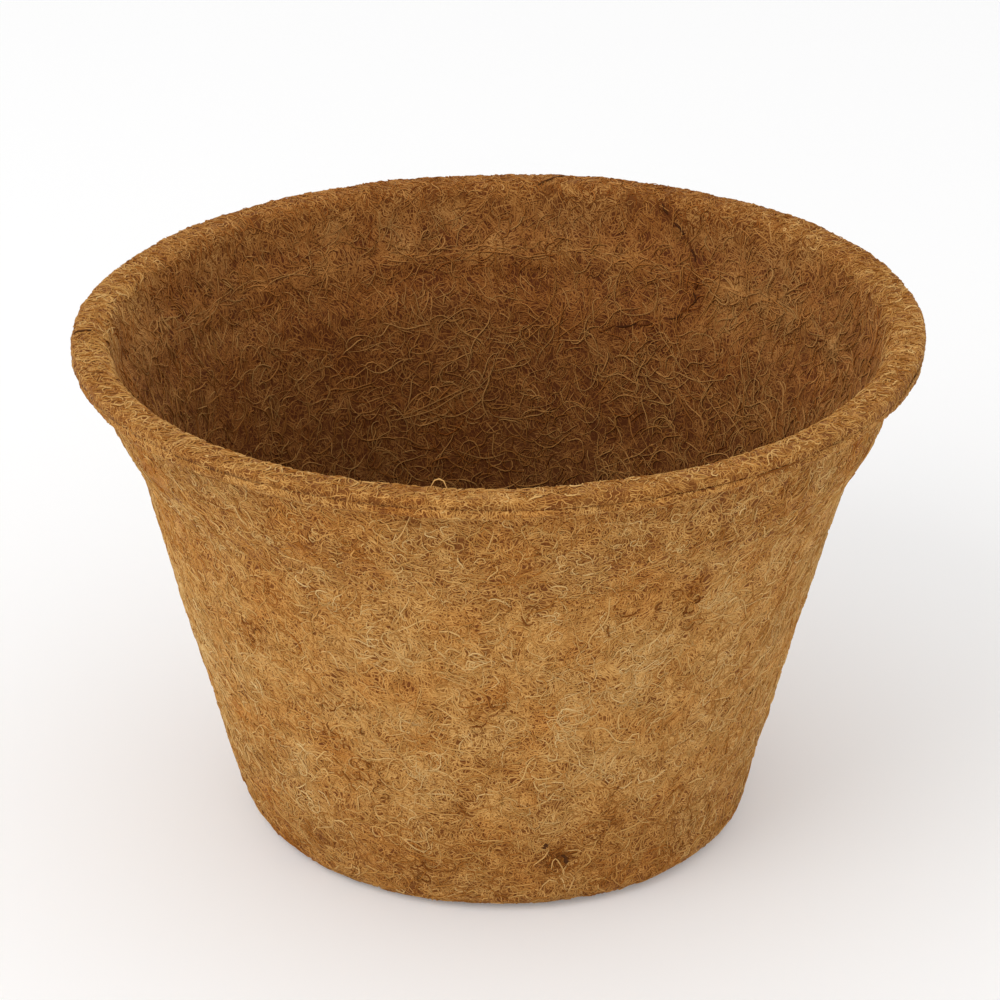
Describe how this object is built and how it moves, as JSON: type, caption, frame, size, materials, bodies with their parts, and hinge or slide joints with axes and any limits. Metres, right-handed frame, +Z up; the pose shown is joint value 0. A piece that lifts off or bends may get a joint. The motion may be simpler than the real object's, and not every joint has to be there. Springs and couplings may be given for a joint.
{
  "type": "coir plant pot",
  "caption": "Round tapered plant pot of pressed coconut fibre felt bonded with latex, with a flat base, a stepped band under the mouth and a flat outward rim.",
  "frame": {"origin": "middle of the base's underside, on the ground", "axes": "+Z up along the pot's own axis, -Y towards the picture's camera"},
  "size_m": [0.203, 0.203, 0.128],
  "materials": {
    "outer_felt": "matted golden brown coconut fibre, dull",
    "latex_bond": "dried natural latex, satin",
    "inner_felt": "matted brown coconut fibre, dull"
  },
  "bodies": {
    "root": {"outer_felt": "outer_felt", "latex_bond": "latex_bond", "inner_felt": "inner_felt"}
  },
  "joints": []
}
